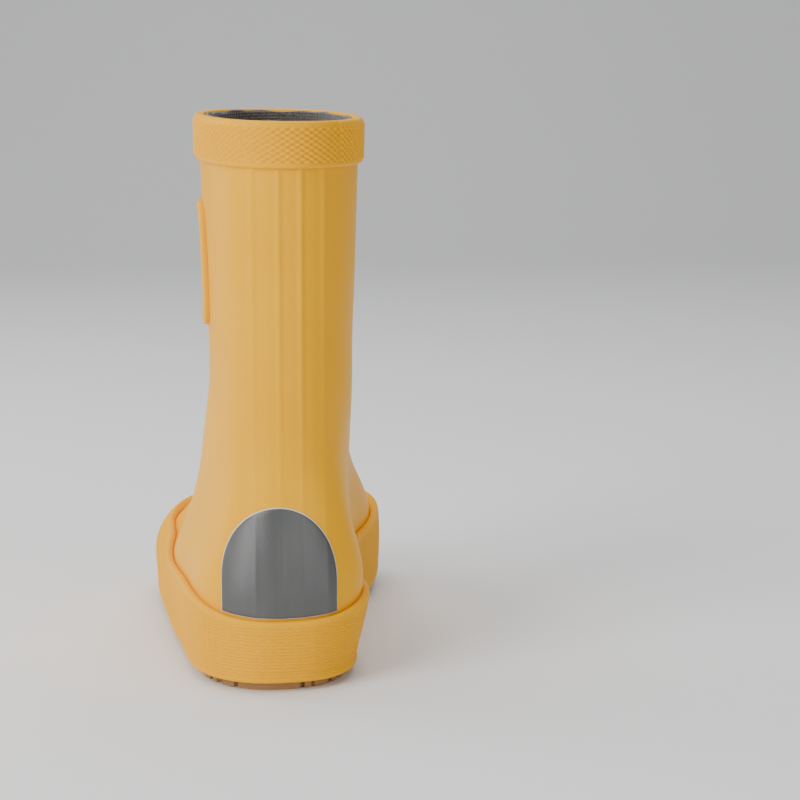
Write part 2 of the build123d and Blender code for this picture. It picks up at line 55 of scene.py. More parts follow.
# ---- sizes of the CAD pieces, in millimetres ----
WALL = 1.7  # thickness of the upper
LINING = 1.3
CEMENT = 0.06


def box_mm(node):
    low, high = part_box(node)
    return np.array(low) / MM, np.array(high) / MM


SOLE_LOW, SOLE_HIGH = box_mm("outsole")
HEEL_Y = SOLE_LOW[1]
SOLE_LENGTH = SOLE_HIGH[1] - SOLE_LOW[1]
REFLECTOR_SHIFT = 1.9  # the reflector's middle, to the inner side of the heel's
REFLECTOR_X = sum(box[0] for box in box_mm("heel_reflector")) / 2
HEEL_X = REFLECTOR_X - REFLECTOR_SHIFT
LEG_X = sum(box[0] for box in box_mm("lining_back_tape")) / 2
TOP = box_mm("cuff_band")[1][2]
CUFF_LOW = box_mm("cuff_band")[0][2]
LEG_INSIDE = 45.0  # a level line this far ahead of the heel is inside the boot at every height


def hit(tree, start, way, reach=400.0):
    """Distance in millimetres from a point to the first surface on its way, or None."""
    found = tree.ray_cast(Vector(start) * MM, Vector(way), reach * MM)
    return None if found[0] is None else found[3] / MM


# ---- the toe spring: the sole is flat to here, then curves up to the toe ----
SPRING_START = HEEL_Y + 92.0
SPRING_RADIUS = 350.0
BENT_UP_TO = 25.0  # the form follows the spring up to this height
STRAIGHT_FROM = 70.0  # and not at all from here up
SOLVING_STEPS = 12  # rounds of a search that closes in on a height or a turn


def spring(y):
    ahead = np.maximum(np.asarray(y, float) - SPRING_START, 0)
    return SPRING_RADIUS - np.sqrt(SPRING_RADIUS**2 - ahead**2)


def ease(t):
    t = np.clip(t, 0, 1)
    return t * t * (3 - 2 * t)


def follows(height):
    return 1 - ease((height - BENT_UP_TO) / (STRAIGHT_FROM - BENT_UP_TO))


def unbent(y, z):
    """Height above the sole line of a point of the boot."""
    height = np.array(z, float)
    for _ in range(SOLVING_STEPS):
        height = z - spring(y) * follows(height)
    return height


def unbent_tree(node):
    """A ray-casting tree of a CAD piece with its toe spring taken out."""
    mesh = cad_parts[node].data
    points = np.array([v.co for v in mesh.vertices]) / MM
    points[:, 2] = unbent(points[:, 1], points[:, 2])
    return BVHTree.FromPolygons((points * MM).tolist(), [p.vertices for p in mesh.polygons])


# ---- the base surface ----
BASE_LOW = 6.8  # the wall goes straight down below this height
BASE_HIGH = 169.3
LEVELS = 163
COLUMNS = 400
RAYS = 720
LEVEL_OVER = 3.0  # below the base the wall's outward direction turns level over this height


def smooth(values, axis, spread, closed):
    """A Gaussian blur along one axis, which keeps straight runs at open ends straight."""
    reach = int(4 * spread) + 1
    weights = np.exp(-0.5 * (np.arange(-reach, reach + 1) / spread) ** 2)
    weights /= weights.sum()
    values = np.moveaxis(values, axis, 0)
    if closed:
        padded = np.concatenate([values[-reach:], values, values[:reach]])
    else:
        before = 2 * values[:1] - values[reach:0:-1]
        after = 2 * values[-1:] - values[-2:-reach - 2:-1]
        padded = np.concatenate([before, values, after])
    blurred = sum(w * padded[i:i + len(values)] for i, w in enumerate(weights))
    return np.moveaxis(blurred, 0, axis)


def ring_at(tree, height):
    """The upper's inner outline at one height: COLUMNS points, even along each side."""
    start = (LEG_X, HEEL_Y + LEG_INSIDE, height)
    back = hit(tree, start, (0, -1, 0))
    front = hit(tree, start, (0, 1, 0))
    middle = np.array([LEG_X, start[1] + (front - back) / 2, height])
    points = []
    for k in range(RAYS):
        turn = 2 * math.pi * k / RAYS
        way = (-math.sin(turn), -math.cos(turn), 0)
        points.append(middle + np.array(way) * hit(tree, middle, way))
    points = np.array(points)
    ring = []
    for side in (points[:RAYS // 2 + 1], np.concatenate([points[RAYS // 2:], points[:1]])):
        steps = np.linalg.norm(np.diff(side, axis=0), axis=1)
        run = np.concatenate([[0], np.cumsum(steps)])
        at = np.linspace(0, run[-1], COLUMNS // 2, endpoint=False)
        ring.append(np.stack([np.interp(at, run, side[:, i]) for i in range(3)], axis=1))
    return np.concatenate(ring)


def base_surface():
    tree = unbent_tree("upper_shell")
    rings = np.array([ring_at(tree, h) for h in np.linspace(BASE_LOW, BASE_HIGH, LEVELS)])
    rings[..., 2] += spring(rings[..., 1]) * follows(rings[..., 2])
    rings = smooth(smooth(rings, 1, 2.0, True), 0, 1.5, False)
    along = np.roll(rings, -1, axis=1) - np.roll(rings, 1, axis=1)
    up = np.gradient(rings, axis=0)
    outward = np.cross(up, along)
    outward /= np.linalg.norm(outward, axis=2, keepdims=True)
    outward = smooth(outward, 1, 1.5, True)
    outward /= np.linalg.norm(outward, axis=2, keepdims=True)
    return rings + outward * WALL, outward


BASE, OUTWARD = base_surface()


def cubic(values, at, closed):
    """Catmull-Rom weights and indices along an axis with this many values."""
    low = np.floor(at).astype(int)
    t = at - low
    weights = [
        -0.5 * t + t**2 - 0.5 * t**3, 1 - 2.5 * t**2 + 1.5 * t**3,
        0.5 * t + 2 * t**2 - 1.5 * t**3, -0.5 * t**2 + 0.5 * t**3,
    ]
    indices = [low + k for k in (-1, 0, 1, 2)]
    indices = [i % values if closed else np.clip(i, 0, values - 1) for i in indices]
    return weights, indices


DROP_FROM = 120.0  # above this height the level lines begin to slope
DROP_FRONT = 1.4  # the top edge is lower at the front by this much
DROP_INNER = 1.2  # and at the inner side


def drop(turn, height):
    """How far a level line hangs down here: the soft leg's mouth isn't quite level."""
    around = 2 * math.pi * np.asarray(turn)
    share = np.clip((np.asarray(height) - DROP_FROM) / (TOP - DROP_FROM), 0, 1)
    return share * (DROP_FRONT * (1 - np.cos(around)) / 2 + DROP_INNER * (1 - np.sin(around)) / 2)


def on_skin(turn, height, out=0.0):
    """Points on the upper's surface, or out from it by this much.

    Above and below the base they go straight up and down.
    """
    turn, height, out = np.broadcast_arrays(turn, height, out)
    height = height - drop(turn, height)
    level = np.clip((height - BASE_LOW) / (BASE_HIGH - BASE_LOW) * (LEVELS - 1), 0, LEVELS - 1)
    wu, iu = cubic(COLUMNS, np.mod(turn, 1.0) * COLUMNS, True)
    wv, iv = cubic(LEVELS, level, False)
    point, way = 0, 0
    for a in range(4):
        for b in range(4):
            w = (wu[a] * wv[b])[..., None]
            point = point + w * BASE[iv[b], iu[a]]
            way = way + w * OUTWARD[iv[b], iu[a]]
    below = np.minimum(height - BASE_LOW, 0) + np.maximum(height - BASE_HIGH, 0)
    flat = np.clip(-np.minimum(height - BASE_LOW, 0) / LEVEL_OVER, 0, 1)[..., None]
    way = way * (1 - flat * np.array([0, 0, 1]))
    way = way / np.linalg.norm(way, axis=-1, keepdims=True)
    point = point + way * out[..., None]
    point[..., 2] += below
    return point


# ---- meshes ----
def new_piece(name, points, faces, material, replaced):
    """A smooth-shaded mesh from points in millimetres, which rides on the boot and stands for CAD nodes."""
    mesh = bpy.data.meshes.new(name)
    mesh.from_pydata((np.asarray(points) * MM).tolist(), [], faces)
    mesh.update()
    piece = bpy.data.objects.new(name, mesh)
    bpy.context.scene.collection.objects.link(piece)
    mesh.materials.append(material)
    mesh.polygons.foreach_set("use_smooth", [True] * len(mesh.polygons))
    work = bmesh.new()
    work.from_mesh(mesh)
    bmesh.ops.recalc_face_normals(work, faces=work.faces)
    work.to_mesh(mesh)
    work.free()
    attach(piece, "root")
    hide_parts(*replaced)
    return piece


def grid_faces(rows, columns, closed_rows, closed_columns):
    """Quads of a grid whose points are listed row by row."""
    r = np.arange(rows if closed_rows else rows - 1)
    c = np.arange(columns if closed_columns else columns - 1)
    r, c = np.meshgrid(r, c, indexing="ij")
    r1, c1 = (r + 1) % rows, (c + 1) % columns
    quads = np.stack([r * columns + c, r * columns + c1, r1 * columns + c1, r1 * columns + c], axis=-1)
    return quads.reshape(-1, 4).tolist()


def ring_piece(name, grid, material, replaced):
    """A closed band: its rows run round the boot, and the last row meets the first."""
    rows, columns = grid.shape[:2]
    faces = grid_faces(rows, columns, True, True)
    return new_piece(name, grid.reshape(-1, 3), faces, material, replaced)


def cap_piece(name, rings, thick, material, replaced):
    """A patch made of rings round a middle point, with a back face thick behind its front."""
    front = np.concatenate([rings[0].mean(axis=0)[None], rings.reshape(-1, 3)])
    back = np.concatenate([thick[0].mean(axis=0)[None], thick.reshape(-1, 3)])
    count, spokes = rings.shape[:2]
    faces = []
    for start in (0, len(front)):
        quads = np.array(grid_faces(count, spokes, False, True)) + 1 + start
        fan = [(start, start + 1 + (k + 1) % spokes, start + 1 + k) for k in range(spokes)]
        faces += quads.tolist() + fan
    rim = 1 + (count - 1) * spokes
    for k in range(spokes):
        a, b = rim + k, rim + (k + 1) % spokes
        faces.append((a, b, len(front) + b, len(front) + a))
    return new_piece(name, np.concatenate([front, back]), faces, material, replaced)


TURN_STEP = 0.002  # a slope on the skin is taken over this much either way
TURN_PACE = 0.03  # and a search moves by no more than this at a time


def turn_where(axis, value, height, guess):
    """The turn at which the skin has this x (axis 0) or y (axis 1) at this height, near a guess."""
    value, height = np.broadcast_arrays(np.asarray(value, float), np.asarray(height, float))
    turn = np.full(value.shape, float(guess))
    for _ in range(SOLVING_STEPS):
        here = on_skin(turn, height)[..., axis]
        after = on_skin(turn + TURN_STEP, height)[..., axis]
        before = on_skin(turn - TURN_STEP, height)[..., axis]
        slope = (after - before) / (2 * TURN_STEP)
        turn = turn - np.clip((here - value) / slope, -TURN_PACE, TURN_PACE)
    return turn


def run_round(height):
    """Distance round the boot at one height, as a function of the turn: turns, and millimetres."""
    turns = np.linspace(0, 1, 4 * COLUMNS + 1)
    steps = np.linalg.norm(np.diff(on_skin(turns, height), axis=0), axis=1)
    return turns, np.concatenate([[0], np.cumsum(steps)])


# ---- the back's soft ribs, which show through everything glued on them ----
FLUTES = (-9.6, -1.9, 4.7, 11.6)  # millimetres to the inner side of the leg's middle
FLUTE_RISE = 0.45
FLUTE_SPREAD = 0.62
FLUTE_SIDE = 0.2  # they lie within this turn of the back
FLUTE_LEFT = 0.35  # the share of the rise that is left at the bottom
FLUTE_FADE_LOW, FLUTE_FADE_HIGH = 60, 120  # and the heights between which they fade
UNEVEN_RISE = 0.07


def flutes(turn, height):
    """How far the ribs stand out. They run down the back and fade towards the foxing."""
    x = on_skin(turn, height)[..., 0] - LEG_X
    back = (np.abs(np.mod(np.asarray(turn) + 0.5, 1.0) - 0.5) < FLUTE_SIDE).astype(float)
    rise = sum(np.exp(-0.5 * ((x - at) / FLUTE_SPREAD) ** 2) for at in FLUTES)
    up = ease((height - FLUTE_FADE_LOW) / (FLUTE_FADE_HIGH - FLUTE_FADE_LOW))
    fade = FLUTE_LEFT + (1 - FLUTE_LEFT) * up
    return FLUTE_RISE * rise * fade * back


def uneven(turn, height):
    """The slow, shallow unevenness of rubber laid up by hand."""
    a, h = 2 * math.pi * np.asarray(turn), np.asarray(height)
    wave = np.sin(3 * a + h / 17) * np.sin(h / 23 + 1.3) + 0.7 * np.sin(5 * a - h / 11 + 2) * np.cos(h / 13)
    return UNEVEN_RISE * wave


# ---- upper ----
UPPER_LOW = 5.2  # lower edge, behind the foxing
UPPER_INSIDE_LOW = 6.6
UNDER_CUFF = 1.4  # the upper ends this far below the cuff's top
BACK_CROWDING = 0.4  # how much closer together the columns stand at the back
SKIN_GAP = 0.02


def upper(material):
    rows, columns = 150, 440
    s = np.linspace(0, 1, columns, endpoint=False)
    turn = s - BACK_CROWDING / (2 * math.pi) * np.sin(2 * math.pi * s)
    outside = np.linspace(UPPER_LOW, TOP - UNDER_CUFF, rows)
    inside = np.linspace(TOP - UNDER_CUFF, UPPER_INSIDE_LOW, rows // 4)
    grid = [on_skin(turn, h, flutes(turn, h) + uneven(turn, h)) for h in outside]
    grid += [on_skin(turn, h, -WALL + SKIN_GAP) for h in inside]
    return ring_piece("upper_skin", np.array(grid), material, ["upper_shell"])


# ---- cuff ----
STRIP_COLUMNS = 900
QUARTER = range(1, 5)  # steps of a rounded corner, an eighth of half a turn each
CUFF_OUT = 1.6
CUFF_INNER = 0.45  # the strip's hidden face lies this far out from the upper
CUFF_CORNER = 1.1
CUFF_LIP = 0.75
CUFF_LEVEL = 165.0  # lengths along the strip are taken at this height
CUFF_TURN = 1.2  # how far the strip turns down inside the boot
CUFF_LAP_RISE = 0.38
CUFF_LAP_LENGTH = 18
KNURL_SHIFT = 0.9  # the dots are out of step by this much on the lap's side of the joint
KNURL_ROUND = 0.8  # below 1 makes the dots fuller
KNURL_COLUMN = 1.32  # between neighbouring columns of dots
KNURL_ROW = 1.75
KNURL_RISE = 0.34
CUFF_JOINT_X = 15.5  # the strip's end, to the inner side of the leg's middle
CUFF_LINE_X = -11.5  # a faint mould line on the outer side


def cuff_path():
    """The cuff's section, as (height, out from the upper, share of the knurl) from its lower lip."""
    corner, lip = CUFF_CORNER, CUFF_LIP
    path = [(CUFF_LOW, CUFF_INNER, 0), (CUFF_LOW, CUFF_OUT - corner, 0)]
    for k in QUARTER:
        a = k * math.pi / 8
        path.append((CUFF_LOW + corner * (1 - math.cos(a)), CUFF_OUT - corner * (1 - math.sin(a)), 0))
    low, high = CUFF_LOW + corner + 0.1, TOP - 1.5
    for h in np.linspace(low, high, 60):
        knurl = ease((h - low) / 0.5) * ease((high - h) / 0.4)
        path.append((h, CUFF_OUT, float(knurl)))
    for k in (0, *QUARTER):
        a = k * math.pi / 8
        path.append((TOP - lip * (1 - math.sin(a)), CUFF_OUT - 0.35 - lip * (1 - math.cos(a)), 0))
    for out in (0.4, -0.5):
        path.append((TOP + 0.02, out, 0))
    for k in QUARTER:
        a = k * math.pi / 8
        path.append((TOP - lip * (1 - math.cos(a)), -WALL + lip * (1 - math.sin(a)), 0))
    path += [(TOP - CUFF_TURN, out, 0) for out in (-WALL, -0.6, CUFF_INNER)]
    path += [(h, CUFF_INNER, 0) for h in np.linspace(TOP - 4, CUFF_LOW + 3, 3)]
    return path


def cuff(material):
    turns, run = run_round(CUFF_LEVEL)
    s = np.linspace(0, run[-1], STRIP_COLUMNS, endpoint=False)
    turn = np.interp(s, run, turns)
    pairs = round(run[-1] / (2 * KNURL_COLUMN))
    angle = 2 * math.pi * pairs * s / run[-1]
    joint = np.interp(turn_where(0, LEG_X + CUFF_JOINT_X, CUFF_LEVEL, 0.0) % 1.0, turns, run)
    past = joint - s  # millimetres beyond the strip's end, going on round the inner side
    line = np.interp(turn_where(0, LEG_X + CUFF_LINE_X, CUFF_LEVEL, 0.0) % 1.0, turns, run)
    beside = s - line
    lapped = ease((past + 0.12) / 0.24) * (1 - ease((past - CUFF_LAP_LENGTH) / 8))
    groove = np.exp(-0.5 * ((past + 0.25) / 0.22) ** 2)
    grid = []
    for h, out, knurl in cuff_path():
        shift = np.where((past > 0) & (beside > 0), KNURL_SHIFT, 0.0)
        dots = np.cos(angle + shift) * np.cos(2 * math.pi * h / KNURL_ROW + 1.7 * shift)
        dots = np.sign(dots) * np.abs(dots) ** KNURL_ROUND
        edge = ease((out + 0.2) / 1.5)
        add = KNURL_RISE * knurl * dots + edge * (CUFF_LAP_RISE * lapped - 0.3 * groove) + uneven(turn, h)
        grid.append(on_skin(turn, h, out + (add if out > 0.5 else 0)))
    return ring_piece("cuff_strip", np.array(grid), material, ["cuff_band"])


# ---- foxing ----
FOXING_LOW = 2.9
FOXING_OUT = 2.4
TOE_BUMPER = 1.5
LIP = 1.2  # the outsole lies this much inside the upper's outline
SCALE_ROW = 1.03
SCALE_WIDTH = 2.45
SCALE_RISE = 0.21
BUMPER_START, BUMPER_RUN = 0.78, 0.17  # where it thickens, as shares of the sole's length
LAP_START, LAP_END = 46.5, 58.5  # the ends' lap at the waist, ahead of the heel
LAP_RISE = 0.6
FOXING_CORNER = 0.9
FOXING_INNER = 0.12  # the strip's hidden face lies this far out from the upper
FOXING_LEVEL = 12.0  # lengths along the strip are taken at this height
PROBE_HEIGHT = 24.0  # the CAD foxing's top edge is looked for over this place on the skin
PROBE_FROM = 60.0


def foxing_tops(turn):
    """Height above the sole line of the CAD foxing's top edge, at each turn."""
    tree = unbent_tree("foxing_band")
    tops = np.full(len(turn), np.nan)
    for i, (x, y, _) in enumerate(on_skin(turn, PROBE_HEIGHT, FOXING_OUT / 2)):
        down = hit(tree, (x, y, PROBE_FROM), (0, 0, -1))
        if down is not None:
            tops[i] = PROBE_FROM - down
    found = np.flatnonzero(~np.isnan(tops))
    tops = np.interp(np.arange(len(turn)), found, tops[found])
    return smooth(tops, 0, 4.0, True)


def foxing(material):
    turns, run = run_round(FOXING_LEVEL)
    s = np.linspace(0, run[-1], STRIP_COLUMNS, endpoint=False)
    turn = np.interp(s, run, turns)
    top = foxing_tops(turn)
    x, y = on_skin(turn, FOXING_LEVEL)[:, :2].T
    share = np.clip(((y - HEEL_Y) / SOLE_LENGTH - BUMPER_START) / BUMPER_RUN, 0, 1)
    bumper = TOE_BUMPER * (0.5 - 0.5 * np.cos(math.pi * share))
    waves = round(run[-1] / SCALE_WIDTH)
    angle = 2 * math.pi * waves * s / run[-1]
    along = np.where(x > HEEL_X, y - HEEL_Y, -99.0)  # the lap is on the inner side only
    lap = ease((along - LAP_START) / 0.4) * ease((LAP_END - along) / 0.4)
    thick = FOXING_OUT + bumper
    under = [(0.0, -LIP), (0.0, 0.0), (0.65, 0.25), (0.65, 0.55), (0.0, 0.8)]  # a groove under the strip
    corner = FOXING_CORNER
    grid = [on_skin(turn, FOXING_LOW + h, out) for h, out in under]
    for k in (0, *QUARTER):
        a = k * math.pi / 8
        out = thick - corner * (1 - math.sin(a)) + LAP_RISE * lap
        grid.append(on_skin(turn, FOXING_LOW + corner * (1 - math.cos(a)), out))
    for share in np.linspace(0, 1, 76):
        h = FOXING_LOW + corner + 0.1 + share * (top - FOXING_LOW - 2 * corner - 0.2)
        rise = SCALE_RISE * np.cos(2 * math.pi * h / SCALE_ROW + 1.35 * np.sin(angle))
        rise = rise * ease(share / 0.04) * ease((1 - share) / 0.05) * (1 - 0.5 * lap)
        grid.append(on_skin(turn, h, thick + LAP_RISE * lap + rise))
    for k in QUARTER:
        a = k * math.pi / 8
        out = thick - corner * (1 - math.cos(a)) + LAP_RISE * lap
        grid.append(on_skin(turn, top - corner * (1 - math.sin(a)), out))
    grid.append(on_skin(turn, top, 0.7))
    grid.append(on_skin(turn, top - 0.3, FOXING_INNER))
    for share in np.linspace(0.8, 0, 5):
        grid.append(on_skin(turn, 5.5 + share * (top - 5.5), FOXING_INNER))
    grid.append(on_skin(turn, SOLE_TOP + 0.1, 0.1))
    grid.append(on_skin(turn, SOLE_TOP, -LIP))
    return ring_piece("foxing_strip", np.array(grid), material, ["foxing_band"])


# ---- outsole: a height field over rows that follow the ribs, cut to the outline ----
TREAD = 2.6
SOLE_TOP = 4.6
FORE_START, FORE_PITCH, FORE_RIB = HEEL_Y + 71.5, 5.8, 3.6
HEEL_END, HEEL_PITCH, HEEL_RIB = HEEL_Y + 34.9, 4.7, 2.8
FORE_LEAN, HEEL_LEAN = math.sin(math.radians(6.3)), math.sin(math.radians(-2.5))
WAVE_LENGTH, WAVE_RISE = 5.5, 0.62
WAIST_DEPTH = 1.3
MEDALLION = np.array([HEEL_X + 0.2, HEEL_Y + 22.7])
MEDALLION_RADIUS = 10.5
SIZE_DISC = np.array([HEEL_X - 3.0, HEEL_Y + 50.0])
SIZE_RADIUS = 4.7
RING = 1.1
FLANK = 0.28  # a rib's flank, measured along the sole, and then as much again of rounding
ROUNDING = 0.12  # how deep that rounding reaches
SHARP_OVER = 38  # degrees: a sharper edge of the sole isn't shaded smooth
DISC_FACE, DISC_BEVEL, DISC_GROOVE = 0.02, 0.3, 1.2  # depths of the plain disc's parts
RING_SLOPE = 0.15
FIGURE_HEIGHT, FIGURE_STROKE, FIGURE_SHIFT, FIGURE_DEPTH = 3.6, 0.62, 1.35, 0.75
HEEL_GROOVES = 8  # grooves across the heel, and ribs across the forefoot
FORE_RIBS = 15
SOLE_HALF, SOLE_STEP = 42, 0.42  # the field of points reaches this far to each side, in these steps


def sole_outline(out, count=1600):
    ring = on_skin(np.linspace(0, 1, count, endpoint=False), BASE_LOW, out)
    return ring[:, :2]


def sole_rows():
    """The rows' places along the sole and how deep each lies: rib tops at 0, groove floors at TREAD."""
    flank = FLANK
    start = HEEL_END - HEEL_RIB - HEEL_GROOVES * HEEL_PITCH
    end = HEEL_Y + HEEL_RIB
    rows = [(start, 0), (start + 2, 0), (HEEL_Y - 0.5, 0), (HEEL_Y + 1, 0), (end - 2 * flank, 0)]
    rows += [(end - flank, ROUNDING), (end, TREAD), (end + 0.5, TREAD)]
    for k in range(2, HEEL_GROOVES + 1):
        low = start + k * HEEL_PITCH
        middle = low + HEEL_RIB / 2
        rows += [(low, TREAD), (low + flank, ROUNDING), (low + 2 * flank, 0), (middle, 0)]
        rows += [(low + HEEL_RIB - 2 * flank, 0), (low + HEEL_RIB - flank, ROUNDING), (low + HEEL_RIB, TREAD)]
        rows.append((low + HEEL_RIB + (HEEL_PITCH - HEEL_RIB) / 2, TREAD))
    waist_low, waist_high = HEEL_END + 1.1, FORE_START - 1.6
    rows += [(waist_low, TREAD), (waist_low + flank, WAIST_DEPTH + 0.1), (waist_low + 2 * flank, WAIST_DEPTH)]
    rows += [(y, WAIST_DEPTH) for y in np.linspace(waist_low + 1, waist_high - 1, 70)]
    rows += [(waist_high - 2 * flank, WAIST_DEPTH), (waist_high - flank, WAIST_DEPTH + 0.1)]
    rows.append((waist_high, TREAD))
    for k in range(FORE_RIBS):
        low = FORE_START + k * FORE_PITCH
        rows += [(low - 0.6, TREAD), (low, TREAD), (low + flank, ROUNDING), (low + 2 * flank, 0)]
        rows.append((low + 1.2, 0))
        rows += [(low + FORE_RIB / 2, 0), (low + FORE_RIB - 1.2, 0), (low + FORE_RIB - 2 * flank, 0)]
        rows += [(low + FORE_RIB - flank, ROUNDING), (low + FORE_RIB, TREAD)]
        rows.append((low + FORE_RIB + 0.7, TREAD))
    return np.array(rows)


def push_off_circle(points, middle, radius, reach):
    """Move points near a circle to one side of it or the other, so that a step along it is clean."""
    away = points - middle
    distance = np.linalg.norm(away, axis=1)
    near = np.abs(distance - radius) < reach
    wanted = np.where(distance < radius, radius - 0.08, radius + 0.08)
    scale = np.where(near, wanted / np.maximum(distance, 1e-6), 1.0)
    return middle + away * scale[:, None]


def disc(profile, middle, segments=96):
    """A turned disc: points and faces of a profile of (radius, height) turned about an upright axis."""
    turn = np.linspace(0, 2 * math.pi, segments, endpoint=False)
    points = []
    for radius, z in profile:
        points.append(np.stack([middle[0] + radius * np.cos(turn), middle[1] + radius * np.sin(turn),
                                np.full(segments, z)], axis=1))
    points = np.concatenate(points)
    faces = grid_faces(len(profile), segments, False, True)
    return points, faces


def stroke(path, width, low, high):
    """A raised line of this width along flat points, its ends square: points and faces."""
    path = np.array(path, float)
    way = np.gradient(path, axis=0)
    way /= np.linalg.norm(way, axis=1, keepdims=True)
    side = np.stack([-way[:, 1], way[:, 0]], axis=1) * width / 2
    corners = [(path + side, low), (path + side * 0.8, high), (path - side * 0.8, high), (path - side, low)]
    points = np.concatenate([np.column_stack([p, np.full(len(p), z)]) for p, z in corners])
    n = len(path)
    faces = []
    for k in range(n - 1):
        for a in range(4):
            b = (a + 1) % 4
            faces.append((a * n + k, a * n + k + 1, b * n + k + 1, b * n + k))
    faces.append((0, n, 2 * n, 3 * n))
    faces.append((4 * n - 1, 3 * n - 1, 2 * n - 1, n - 1))
    return points, faces


def figure_two(middle, height):
    """The path of a plain figure 2, mirrored to read right from under the sole."""
    half = height / 4
    turn = np.radians(np.linspace(160, -35, 14))
    arc = np.stack([half * np.cos(turn), half + half * np.sin(turn)], axis=1)
    path = np.concatenate([arc, [[-half, -2 * half + 0.02], [-half + 0.02, -2 * half], [half, -2 * half]]])
    path[:, 0] *= -1
    return path + middle


def medallion_profile():
    """The heel's plain disc with two grooves turned in it, as (radius, depth)."""
    r, g, face, bevel, floor = MEDALLION_RADIUS, RING, DISC_FACE, DISC_BEVEL, DISC_GROOVE
    groove_edge, groove_end = r - g - RING_SLOPE, r - 2 * g
    return [
        (0.01, TREAD + 0.3), (r, TREAD + 0.3), (r, bevel), (r - 0.2, face),
        (r - g, face), (groove_edge, bevel), (groove_edge, floor),
        (groove_end, floor), (groove_end, bevel), (groove_end - RING_SLOPE, face),
        (r / 2 + RING_SLOPE, face), (r / 2, bevel), (r / 2, floor),
        (r / 2 - g, floor), (r / 2 - g, bevel), (r / 2 - g - RING_SLOPE, face), (0.01, face),
    ]


def size_profile():
    """The raised ring round the size in the waist, as (radius, depth)."""
    size, under, floor = SIZE_RADIUS, WAIST_DEPTH + 0.2, WAIST_DEPTH - 0.02
    return [
        (0.01, under), (size, under), (size, 0.85), (size - 0.12, 0.7),
        (size - 0.55, 0.7), (size - 0.67, 0.85), (size - 0.7, floor), (0.01, floor),
    ]


def outsole(material):
    rows = sole_rows()
    xs = np.arange(-SOLE_HALF, SOLE_HALF + 0.01, SOLE_STEP)
    t, depth = rows[:, 0], rows[:, 1]
    waist = ease((t - HEEL_END) / (FORE_START - HEEL_END))
    lean = HEEL_LEAN + (FORE_LEAN - HEEL_LEAN) * waist
    calm = 1 - 0.85 * np.clip(4 * waist * (1 - waist), 0, 1)
    x = np.broadcast_to(xs, (len(t), len(xs)))
    y = t[:, None] + lean[:, None] * (x - HEEL_X) + calm[:, None] * WAVE_RISE * np.cos(
        2 * math.pi * (x - HEEL_X) / WAVE_LENGTH)
    flat = np.stack([x, y], axis=2).reshape(-1, 2)
    z = np.repeat(depth, len(xs))
    clear = MEDALLION_RADIUS + RING
    flat = push_off_circle(flat, MEDALLION, clear, 0.33)
    z = np.where(np.linalg.norm(flat - MEDALLION, axis=1) < clear, TREAD, z)
    outline = sole_outline(-LIP)
    middle = np.array([HEEL_X + 2, HEEL_Y + SOLE_LENGTH / 2])
    angles = np.arctan2(outline[:, 1] - middle[1], outline[:, 0] - middle[0])
    order = np.argsort(angles)
    reach = np.linalg.norm(outline - middle, axis=1)
    away = flat - middle
    at = np.arctan2(away[:, 1], away[:, 0])
    limit = np.interp(at, angles[order], reach[order], period=2 * math.pi)
    distance = np.linalg.norm(away, axis=1)
    within = distance <= limit
    faces = np.array(grid_faces(len(t), len(xs), False, False))
    count = within[faces].sum(axis=1)
    faces = faces[count >= 2]
    used = np.zeros(len(flat), bool)
    used[faces.ravel()] = True
    pulled = middle + away * (limit / np.maximum(distance, 1e-6))[:, None]
    work = bmesh.new()
    outside = used & ~within
    place = np.where(outside[:, None], pulled, flat)
    verts = {}
    for i in np.flatnonzero(used):
        verts[i] = work.verts.new((place[i, 0], place[i, 1], z[i]))
    for quad in faces:
        try:
            work.faces.new([verts[i] for i in quad])
        except ValueError:
            continue
    rim = [e for e in work.edges if e.is_boundary]
    for v in {v for e in rim for v in e.verts}:
        away_v = np.array(v.co[:2]) - middle
        far = np.linalg.norm(away_v)
        edge = np.interp(math.atan2(away_v[1], away_v[0]), angles[order], reach[order], period=2 * math.pi)
        v.co.x, v.co.y = middle + away_v * edge / far
    bmesh.ops.remove_doubles(work, verts=work.verts, dist=0.02)
    rim = [e for e in work.edges if e.is_boundary]
    wall = bmesh.ops.extrude_edge_only(work, edges=rim)["geom"]
    top = [g for g in wall if isinstance(g, bmesh.types.BMVert)]
    for v in top:
        v.co.z = SOLE_TOP
    bmesh.ops.holes_fill(work, edges=[e for e in work.edges if e.is_boundary], sides=0)
    bmesh.ops.recalc_face_normals(work, faces=work.faces)
    bmesh.ops.triangulate(work, faces=[f for f in work.faces if len(f.verts) > 4])
    field = bpy.data.meshes.new("sole_field")
    work.to_mesh(field)
    work.free()
    points = [np.array([v.co for v in field.vertices])]
    all_faces = [list(p.vertices) for p in field.polygons]
    extras = [disc(medallion_profile(), MEDALLION), disc(size_profile(), SIZE_DISC)]
    for side in (-1, 1):
        path = figure_two(SIZE_DISC + np.array([side * FIGURE_SHIFT, 0]), FIGURE_HEIGHT)
        extras.append(stroke(path, FIGURE_STROKE, WAIST_DEPTH, FIGURE_DEPTH))
    start = len(points[0])
    for extra, extra_faces in extras:
        all_faces += [[i + start for i in face] for face in extra_faces]
        points.append(extra)
        start += len(extra)
    points = np.concatenate(points)
    points[:, 2] += spring(points[:, 1])
    bpy.data.meshes.remove(field)
    piece = new_piece("tread_sole", points, all_faces, material, ["outsole"])
    piece.data.set_sharp_from_angle(angle=math.radians(SHARP_OVER))
    return piece


# ---- patches: rings that grow from a middle point to the patch's outline ----
REFLECTOR_ARCH = 21.5  # height of the half ellipse at its top
REFLECTOR_EDGE = 0.4  # the film stops this much inside its carrier
PATCH_EDGE = 0.94  # from this share of the way out a patch rounds down
BADGE_CORNERS = 4.2  # the badge's outline: 2 would be an ellipse, more is squarer


